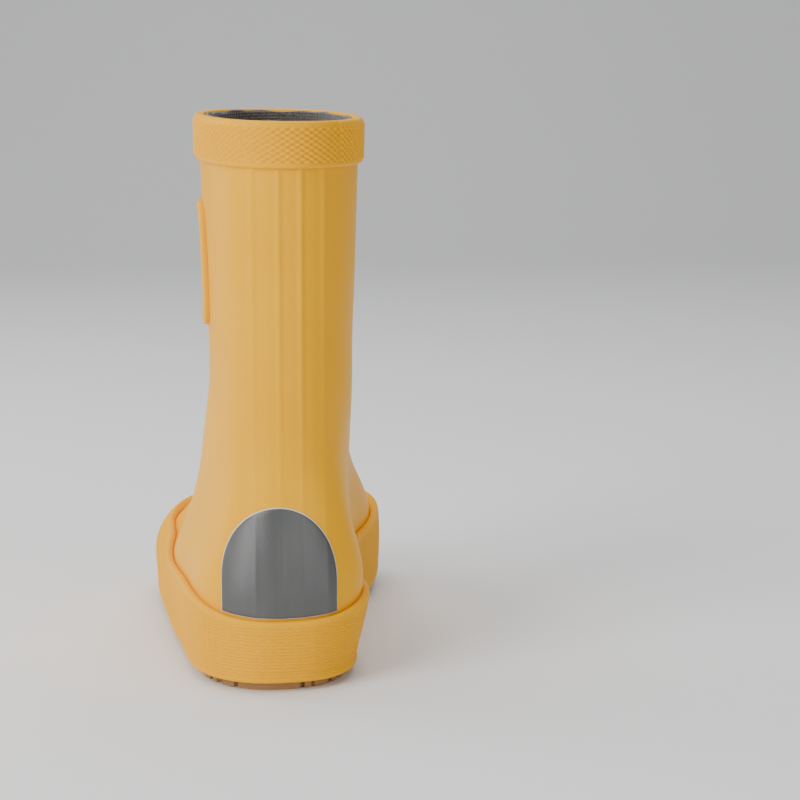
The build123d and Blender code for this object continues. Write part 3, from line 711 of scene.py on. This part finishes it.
def patch_rings(outline, shares):
    """Flat rings: the outline shrunk towards its middle by each share in turn."""
    middle = outline.mean(axis=0)
    return np.array([middle + (outline - middle) * share for share in shares])


def dome_outline(shrink, foxing_gap):
    """The reflector's outline behind the heel, as (x, height): half an ellipse on straight sides."""
    low, high = box_mm("reflector_backing")
    half, top = (high[0] - low[0]) / 2 - shrink, high[2] - shrink
    turn = np.linspace(0, math.pi, 70)
    arc = np.stack([half * np.cos(turn), top - REFLECTOR_ARCH + REFLECTOR_ARCH * np.sin(turn)], axis=1)
    turns = np.linspace(-0.14, 0.14, 71)
    edge = foxing_tops(np.mod(turns, 1))
    xs = on_skin(turns, PROBE_HEIGHT)[:, 0] - REFLECTOR_X
    order = np.argsort(xs)
    bottom_x = np.linspace(-half, half, 60)
    bottom = np.stack([bottom_x, np.interp(bottom_x, xs[order], edge[order]) + foxing_gap + shrink], axis=1)
    sides = np.linspace(0.04, 0.96, 18)[:, None]
    right = bottom[-1] + (arc[0] - bottom[-1]) * sides
    left = arc[-1] + (bottom[0] - arc[-1]) * sides
    path = np.concatenate([arc, left, bottom, right])
    path[:, 0] += REFLECTOR_X
    return path


def on_back(flat, out):
    """Points on the back of the boot from (x, height), out from the upper's surface."""
    height = flat[..., 1]
    turn = turn_where(0, flat[..., 0], height, 0.0)
    return on_skin(turn, height, out + 0.8 * flutes(turn, height) + uneven(turn, height))


def on_outer_side(flat, out):
    """Points on the outer side of the leg from (y, height), out from the upper's surface."""
    turn = turn_where(1, flat[..., 0], flat[..., 1], 0.25)
    return on_skin(turn, flat[..., 1], out + uneven(turn, flat[..., 1]))


def edge_rounded(shares, rise, edge):
    """How far each ring stands out: flat, then rounded down at the patch's edge."""
    over = np.clip((shares - PATCH_EDGE) / (1 - PATCH_EDGE), 0, 1)
    return rise - edge * (1 - np.sqrt(1 - over**2))


def reflector(backing_material, film_material):
    shares = np.concatenate([np.linspace(0.03, 0.93, 40), [0.95, 0.97, 0.985, 0.995, 1.0]])
    for name, node, shrink, low, high, material, slot in (
        ("reflector_carrier", "reflector_backing", 0.0, 0.02, 0.34, backing_material, "reflector_carrier"),
        ("reflector_film", "heel_reflector", REFLECTOR_EDGE, 0.30, 0.80, film_material, "reflective_film"),
    ):
        flat = patch_rings(dome_outline(shrink, 0.25), shares)
        out = edge_rounded(shares, high, 0.22)[:, None]
        cap_piece(name, on_back(flat, out), on_back(flat, low), material, [node])


def badge(material):
    low, high = box_mm("side_badge")
    half_width, half_height = (high[1] - low[1]) / 2, (high[2] - low[2]) / 2
    middle = np.array([(high[1] + low[1]) / 2, (high[2] + low[2]) / 2])
    turn = np.linspace(0, 2 * math.pi, 160, endpoint=False)
    power = 2 / BADGE_CORNERS
    c, s = np.cos(turn), np.sin(turn)
    across = half_width * np.sign(c) * np.abs(c) ** power
    upward = half_height * np.sign(s) * np.abs(s) ** power
    outline = np.stack([across, upward], axis=1) + middle
    profile = [  # (share of the way out, how far it stands out)
        (0.03, 1.28), (0.15, 1.28), (0.3, 1.26), (0.45, 1.2), (0.55, 1.14), (0.62, 1.1), (0.68, 1.1),
        (0.74, 1.1), (0.78, 1.1), (0.795, 1.14), (0.81, 1.32), (0.825, 1.55), (0.845, 1.68), (0.87, 1.7),
        (0.90, 1.7), (0.925, 1.7), (0.95, 1.66), (0.97, 1.54), (0.985, 1.34), (0.996, 1.0),
        (1.0, 0.6), (1.0, 0.05),
    ]
    shares = [p[0] for p in profile]
    flat = patch_rings(outline, shares)
    out = np.array([p[1] for p in profile])[:, None] * np.ones((1, len(turn)))
    back = on_outer_side(flat, 0.03)
    return cap_piece("leg_badge", on_outer_side(flat, out), back, material, ["side_badge"])


# ---- the cloth inside ----
LINING_OUT = WALL + CEMENT
LINING_IN = LINING_OUT + LINING
HEM_DEPTH = 22  # the lining's creases deepen over this much below its top edge
HEM_STITCH = 9  # a ridge runs round this far below it
TAPE_THICK = 0.5
BED_CLEAR = 0.55  # the footbed's edge stands this far off the lining


def leg_lining(material):
    columns = 420
    turn = np.linspace(0, 1, columns, endpoint=False)
    low, high = box_mm("leg_lining")[0][2] + 0.1, TOP - 1.0
    edge = 0.25 * np.sin(2 * math.pi * 7 * turn + 1) + 0.2 * np.sin(2 * math.pi * 17 * turn) - 0.25

    def crease(h):
        a = 2 * math.pi * turn
        near_top = ease((h - (high - HEM_DEPTH)) / 20)
        return (0.16 + 0.12 * near_top) * (np.sin(9 * a + h / 9) * np.sin(h / 7 + 3 * np.sin(2 * a)) - 1)

    grid = [on_skin(turn, h, -LINING_OUT - SKIN_GAP) for h in np.linspace(low, high, 18)]
    half = LINING / 2
    for k in range(1, 8):
        a = k * math.pi / 8
        lift = edge + 0.75 * math.sin(a)
        out = -LINING_OUT - half + half * math.cos(a) + 0.5 * crease(high)
        grid.append(on_skin(turn, high + lift, out))
    for h in np.linspace(high, low, 110):
        fold = 0.22 * math.exp(-0.5 * ((h - (high - HEM_STITCH)) / 0.35) ** 2)
        height = h + (edge if h > high - 0.5 else 0)
        grid.append(on_skin(turn, height, -LINING_IN + 0.6 * crease(h) + fold))
    return ring_piece("lining_leg", np.array(grid), material, ["leg_lining"])


def back_tape(material):
    low, high = box_mm("lining_back_tape")
    half, h0, h1 = (high[0] - low[0]) / 2, low[2], high[2]
    across = np.linspace(-half, half, 30)
    grid_x, grid_h = np.meshgrid(LEG_X + across, np.linspace(h0, h1, 200))
    turn = turn_where(0, grid_x, grid_h, 0.0)
    seams = (-half + 1.6, half - 1.6, 0.0)
    seam = sum(np.exp(-0.5 * ((grid_x - LEG_X - at) / 0.35) ** 2) for at in seams)
    stitch = 0.5 + 0.5 * np.cos(2 * math.pi * grid_h / 3.0)
    edge = ease((half - np.abs(grid_x - LEG_X)) / 0.5)
    inner = -LINING_IN - CEMENT - TAPE_THICK * edge + 0.18 * seam * stitch - 0.25
    front = on_skin(turn, grid_h, inner)
    back = on_skin(turn, grid_h, -LINING_IN + 0.05)
    rows, columns = front.shape[:2]
    n = rows * columns
    one_side = grid_faces(rows, columns, False, False)
    faces = one_side + [[i + n for i in face] for face in one_side]
    border = list(range(columns)) + [r * columns + columns - 1 for r in range(1, rows)]
    border += [(rows - 1) * columns + c for c in range(columns - 2, -1, -1)]
    border += [r * columns for r in range(rows - 2, 0, -1)]
    for k, a in enumerate(border):
        b = border[(k + 1) % len(border)]
        faces.append((a, b, b + n, a + n))
    points = np.concatenate([front.reshape(-1, 3), back.reshape(-1, 3)])
    return new_piece("lining_tape", points, faces, material, ["lining_back_tape"])


def footbed(foam_material, cover_material):
    """The removable footbed: soft foam with a cloth top, a little dished for the heel."""
    turn = np.linspace(0, 1, 360, endpoint=False)
    shares = np.concatenate([np.linspace(0.02, 0.94, 60), [0.96, 0.975, 0.988, 0.996, 1.0]])
    heel = np.array([HEEL_X, HEEL_Y + 26])
    for name, node, low, high, round_edge, material, slot in (
        ("footbed_core", "footbed_foam", 9.34, 12.84, 0.3, foam_material, "foam"),
        ("footbed_top", "footbed_cover", 12.9, 13.7, 0.5, cover_material, "cover_cloth"),
    ):
        outline = on_skin(turn, high, -LINING_IN - BED_CLEAR)[:, :2]
        flat = patch_rings(outline, shares)
        bend = spring(flat[..., 1])
        over = np.clip((shares - 0.95) / 0.05, 0, 1)
        top = high + bend - round_edge * (1 - np.sqrt(1 - over**2))[:, None]
        if node == "footbed_cover":
            away = np.linalg.norm((flat - heel) / np.array([1, 1.4]), axis=-1)
            x, y = flat[..., 0] - HEEL_X, flat[..., 1] - HEEL_Y
            arch = np.exp(-0.5 * (((x - 13) / 7) ** 2 + ((y - 58) / 16) ** 2))
            top = top + 0.9 * ease((away - 8) / 14) * ease((60 - y) / 30) + 1.6 * arch
        front = np.concatenate([flat, top[..., None]], axis=-1)
        under = (low + bend) * np.ones(flat.shape[:2])
        back = np.concatenate([flat, under[..., None]], axis=-1)
        piece = cap_piece(name, front, back, material, [node])


# ---- materials ----
def shader(name, color, roughness, specular=0.5):
    material = bpy.data.materials.new(name)
    material.use_nodes = True
    nodes = material.node_tree.nodes
    main = nodes["Principled BSDF"]
    main.inputs["Base Color"].default_value = (*color, 1)
    main.inputs["Roughness"].default_value = roughness
    main.inputs["Specular IOR Level"].default_value = specular
    return material, nodes, material.node_tree.links, main


def add_noise(nodes, links, scale, detail=4.0, rough=0.5, stretch=(1, 1, 1)):
    place = nodes.new("ShaderNodeTexCoord")
    mapping = nodes.new("ShaderNodeMapping")
    mapping.inputs["Scale"].default_value = stretch
    noise = nodes.new("ShaderNodeTexNoise")
    noise.inputs["Scale"].default_value = scale
    noise.inputs["Detail"].default_value = detail
    noise.inputs["Roughness"].default_value = rough
    links.new(place.outputs["Object"], mapping.inputs["Vector"])
    links.new(mapping.outputs["Vector"], noise.inputs["Vector"])
    return noise


def mix_colors(nodes, links, factor, first, second, low=0.35, high=0.65):
    ramp = nodes.new("ShaderNodeValToRGB")
    ramp.color_ramp.elements[0].position = low
    ramp.color_ramp.elements[0].color = (*first, 1)
    ramp.color_ramp.elements[1].position = high
    ramp.color_ramp.elements[1].color = (*second, 1)
    links.new(factor, ramp.inputs["Fac"])
    return ramp.outputs["Color"]


def add_bump(nodes, links, main, heights, distance, strength):
    bump = nodes.new("ShaderNodeBump")
    bump.inputs["Distance"].default_value = distance
    bump.inputs["Strength"].default_value = strength
    links.new(heights, bump.inputs["Height"])
    links.new(bump.outputs["Normal"], main.inputs["Normal"])


def rubber(name, color, darker, roughness, grain, bump):
    """Vulcanised rubber: slow colour drift, a fine matt grain and uneven gloss."""
    material, nodes, links, main = shader(name, color, roughness, 0.08)
    drift = add_noise(nodes, links, 28, 3)
    mixed = mix_colors(nodes, links, drift.outputs["Fac"], darker, color, 0.3, 0.62)
    links.new(mixed, main.inputs["Base Color"])
    gloss = add_noise(nodes, links, 90, 5, 0.6)
    spread = nodes.new("ShaderNodeMapRange")
    spread.inputs["To Min"].default_value = roughness - 0.06
    spread.inputs["To Max"].default_value = roughness + 0.08
    links.new(gloss.outputs["Fac"], spread.inputs["Value"])
    links.new(spread.outputs["Result"], main.inputs["Roughness"])
    fine = add_noise(nodes, links, grain, 3)
    add_bump(nodes, links, main, fine.outputs["Fac"], 0.0001, bump)
    return material


def cloth(name, color, lighter, scale, bump):
    """Knitted or woven cloth: crossed waves for the yarns, noise for the fibres, a little sheen."""
    material, nodes, links, main = shader(name, color, 0.92, 0.2)
    place = nodes.new("ShaderNodeTexCoord")
    waves = []
    for direction in ("X", "Y", "Z"):
        wave = nodes.new("ShaderNodeTexWave")
        wave.bands_direction = direction
        wave.inputs["Scale"].default_value = scale
        wave.inputs["Distortion"].default_value = 1.2
        wave.inputs["Detail"].default_value = 2
        wave.inputs["Detail Scale"].default_value = 3
        links.new(place.outputs["Object"], wave.inputs["Vector"])
        waves.append(wave)
    total = waves[0].outputs["Fac"]
    for wave in waves[1:]:
        joined = nodes.new("ShaderNodeMath")
        joined.operation = "MULTIPLY_ADD"
        joined.inputs[1].default_value = 0.5
        links.new(total, joined.inputs[0])
        links.new(wave.outputs["Fac"], joined.inputs[2])
        total = joined.outputs["Value"]
    fibres = add_noise(nodes, links, 1600, 3, 0.7)
    mixed = mix_colors(nodes, links, fibres.outputs["Fac"], color, lighter, 0.35, 0.75)
    links.new(mixed, main.inputs["Base Color"])
    add_bump(nodes, links, main, total, 0.0003, bump)
    main.inputs["Sheen Weight"].default_value = 0.35
    main.inputs["Sheen Roughness"].default_value = 0.6
    return material


def reflective_film():
    """Grey retroreflective film: a fine bead grain and a soft metallic sheen."""
    material, nodes, links, main = shader("reflective_film", FILM, 0.42, 0.4)
    main.inputs["Metallic"].default_value = 0.35
    place = nodes.new("ShaderNodeTexCoord")
    beads = nodes.new("ShaderNodeTexVoronoi")
    beads.inputs["Scale"].default_value = 1400
    links.new(place.outputs["Object"], beads.inputs["Vector"])
    drift = add_noise(nodes, links, 60, 3, 0.5, (1, 1, 0.25))
    mixed = mix_colors(nodes, links, drift.outputs["Fac"], FILM_DARK, FILM_PALE)
    links.new(mixed, main.inputs["Base Color"])
    add_bump(nodes, links, main, beads.outputs["Distance"], 0.0001, 0.25)
    return material


def plain_hidden(name, color, lighter, scale):
    """Board, sponge or fibre that shows only at a cut edge: speckled and matt."""
    material, nodes, links, main = shader(name, color, 0.85, 0.3)
    speckle = add_noise(nodes, links, scale, 5, 0.7)
    links.new(mix_colors(nodes, links, speckle.outputs["Fac"], color, lighter), main.inputs["Base Color"])
    add_bump(nodes, links, main, speckle.outputs["Fac"], 0.0002, 0.5)
    return material


YELLOW = (0.90, 0.43, 0.0)
YELLOW_DARK = (0.86, 0.40, 0.0)
TAN = (0.40, 0.24, 0.105)
TAN_DARK = (0.33, 0.19, 0.08)
FILM = (0.10, 0.104, 0.10)
FILM_DARK = (0.088, 0.092, 0.09)
FILM_PALE = (0.12, 0.123, 0.118)

yellow = rubber("yellow_rubber", YELLOW, YELLOW_DARK, 0.40, 900, 0.10)
yellow_strip = rubber("yellow_strip_rubber", YELLOW, YELLOW_DARK, 0.44, 1100, 0.15)
tan = rubber("tan_rubber", TAN, TAN_DARK, 0.55, 1300, 0.3)
lining = cloth("lining_cloth", (0.045, 0.035, 0.03), (0.16, 0.14, 0.125), 330, 0.6)
tape = cloth("tape_cloth", (0.03, 0.026, 0.024), (0.07, 0.065, 0.06), 420, 0.7)
cover = cloth("cover_cloth", (0.05, 0.045, 0.042), (0.13, 0.12, 0.11), 260, 0.7)
carrier = plain_hidden("film_carrier", (0.62, 0.60, 0.53), (0.72, 0.70, 0.64), 300)
foam = plain_hidden("footbed_foam", (0.10, 0.10, 0.11), (0.15, 0.15, 0.16), 900)
sponge = plain_hidden("filler_sponge", (0.06, 0.055, 0.05), (0.11, 0.10, 0.09), 700)
board = plain_hidden("insole_board", (0.28, 0.20, 0.12), (0.38, 0.29, 0.19), 400)
fibre = plain_hidden("stiffener_fibre", (0.50, 0.47, 0.40), (0.60, 0.57, 0.50), 500)

upper(yellow)
cuff(yellow_strip)
foxing(yellow_strip)
outsole(tan)
reflector(carrier, reflective_film())
badge(yellow)
leg_lining(lining)
back_tape(tape)
footbed(foam, cover)

for node, material in (
    ("foot_lining", lining), ("insole_board", board), ("bottom_filler", sponge),
    ("heel_counter", fibre), ("toe_puff", fibre),
):
    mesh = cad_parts[node].data
    mesh.materials.clear()
    mesh.materials.append(material)


# ---- floor, light and camera ----
UNDER_RIBS = 0.1  # the floor lies this far under the ribs, so that the two don't flicker


def stage():
    """A pale floor that curves up into a backdrop."""
    width, depth, rise, bend = 3000.0, 1500.0, 1500.0, 500.0
    section = [(-2000.0, 0.0), (depth - bend, 0.0)]
    for k in range(1, 13):
        a = k * math.pi / 24
        section.append((depth - bend + bend * math.sin(a), bend * (1 - math.cos(a))))
    section.append((depth, rise))
    points = [(x, y, z - UNDER_RIBS) for y, z in section for x in (-width, width)]
    faces = grid_faces(len(section), 2, False, False)
    mesh = bpy.data.meshes.new("floor")
    mesh.from_pydata((np.array(points) * MM).tolist(), [], faces)
    floor = bpy.data.objects.new("floor", mesh)
    bpy.context.scene.collection.objects.link(floor)
    mesh.polygons.foreach_set("use_smooth", [True] * len(mesh.polygons))
    material = shader("pale_floor", (0.86, 0.86, 0.86), 0.6, 0.2)[0]
    mesh.materials.append(material)


def area_light(name, place, size, power):
    """A soft rectangular lamp: its place and aim in millimetres, its size in metres."""
    light = bpy.data.lights.new(name, "AREA")
    light.shape = "RECTANGLE"
    light.size, light.size_y = size
    light.energy = power
    lamp = bpy.data.objects.new(name, light)
    lamp.location = Vector(place) * MM
    lamp.rotation_euler = (AIM - Vector(place)).to_track_quat("-Z", "Y").to_euler()
    bpy.context.scene.collection.objects.link(lamp)


AIM = Vector((0, 0, 90))
stage()
area_light("key", (-650, -550, 500), (0.5, 0.8), 8.5)
area_light("fill", (500, -900, 350), (0.7, 0.9), 3.2)
area_light("top", (0, 200, 1000), (1.0, 1.0), 8)
area_light("rim", (-700, 400, 300), (0.4, 0.8), 3)
world = bpy.data.worlds.new("studio")
world.use_nodes = True
world.node_tree.nodes["Background"].inputs["Color"].default_value = (0.9, 0.92, 0.95, 1)
world.node_tree.nodes["Background"].inputs["Strength"].default_value = 0.28
bpy.context.scene.world = world

CAMERA_BACK = 700.0  # behind the heel
CAMERA_HEIGHT = 214.0
CAMERA_SIDE = 38.0  # the camera's axis passes this far to the inner side of the heel
CAMERA_DOWN = 10.1  # degrees
CAMERA_TURN = 5.0  # the boot's toe points this many degrees to the left of the view
CAMERA_LENS = 108

turn = math.radians(CAMERA_TURN)
ahead = np.array([math.sin(turn), math.cos(turn)])
across = np.array([math.cos(turn), -math.sin(turn)])
place = np.array([HEEL_X, HEEL_Y]) - CAMERA_BACK * ahead + CAMERA_SIDE * across
camera = bpy.data.cameras.new("camera")
camera.lens = CAMERA_LENS
camera.sensor_width = 36
viewer = bpy.data.objects.new("camera", camera)
viewer.location = Vector((place[0], place[1], CAMERA_HEIGHT)) * MM
viewer.rotation_euler = (math.radians(90 - CAMERA_DOWN), 0, -turn)
bpy.context.scene.collection.objects.link(viewer)
bpy.context.scene.camera = viewer
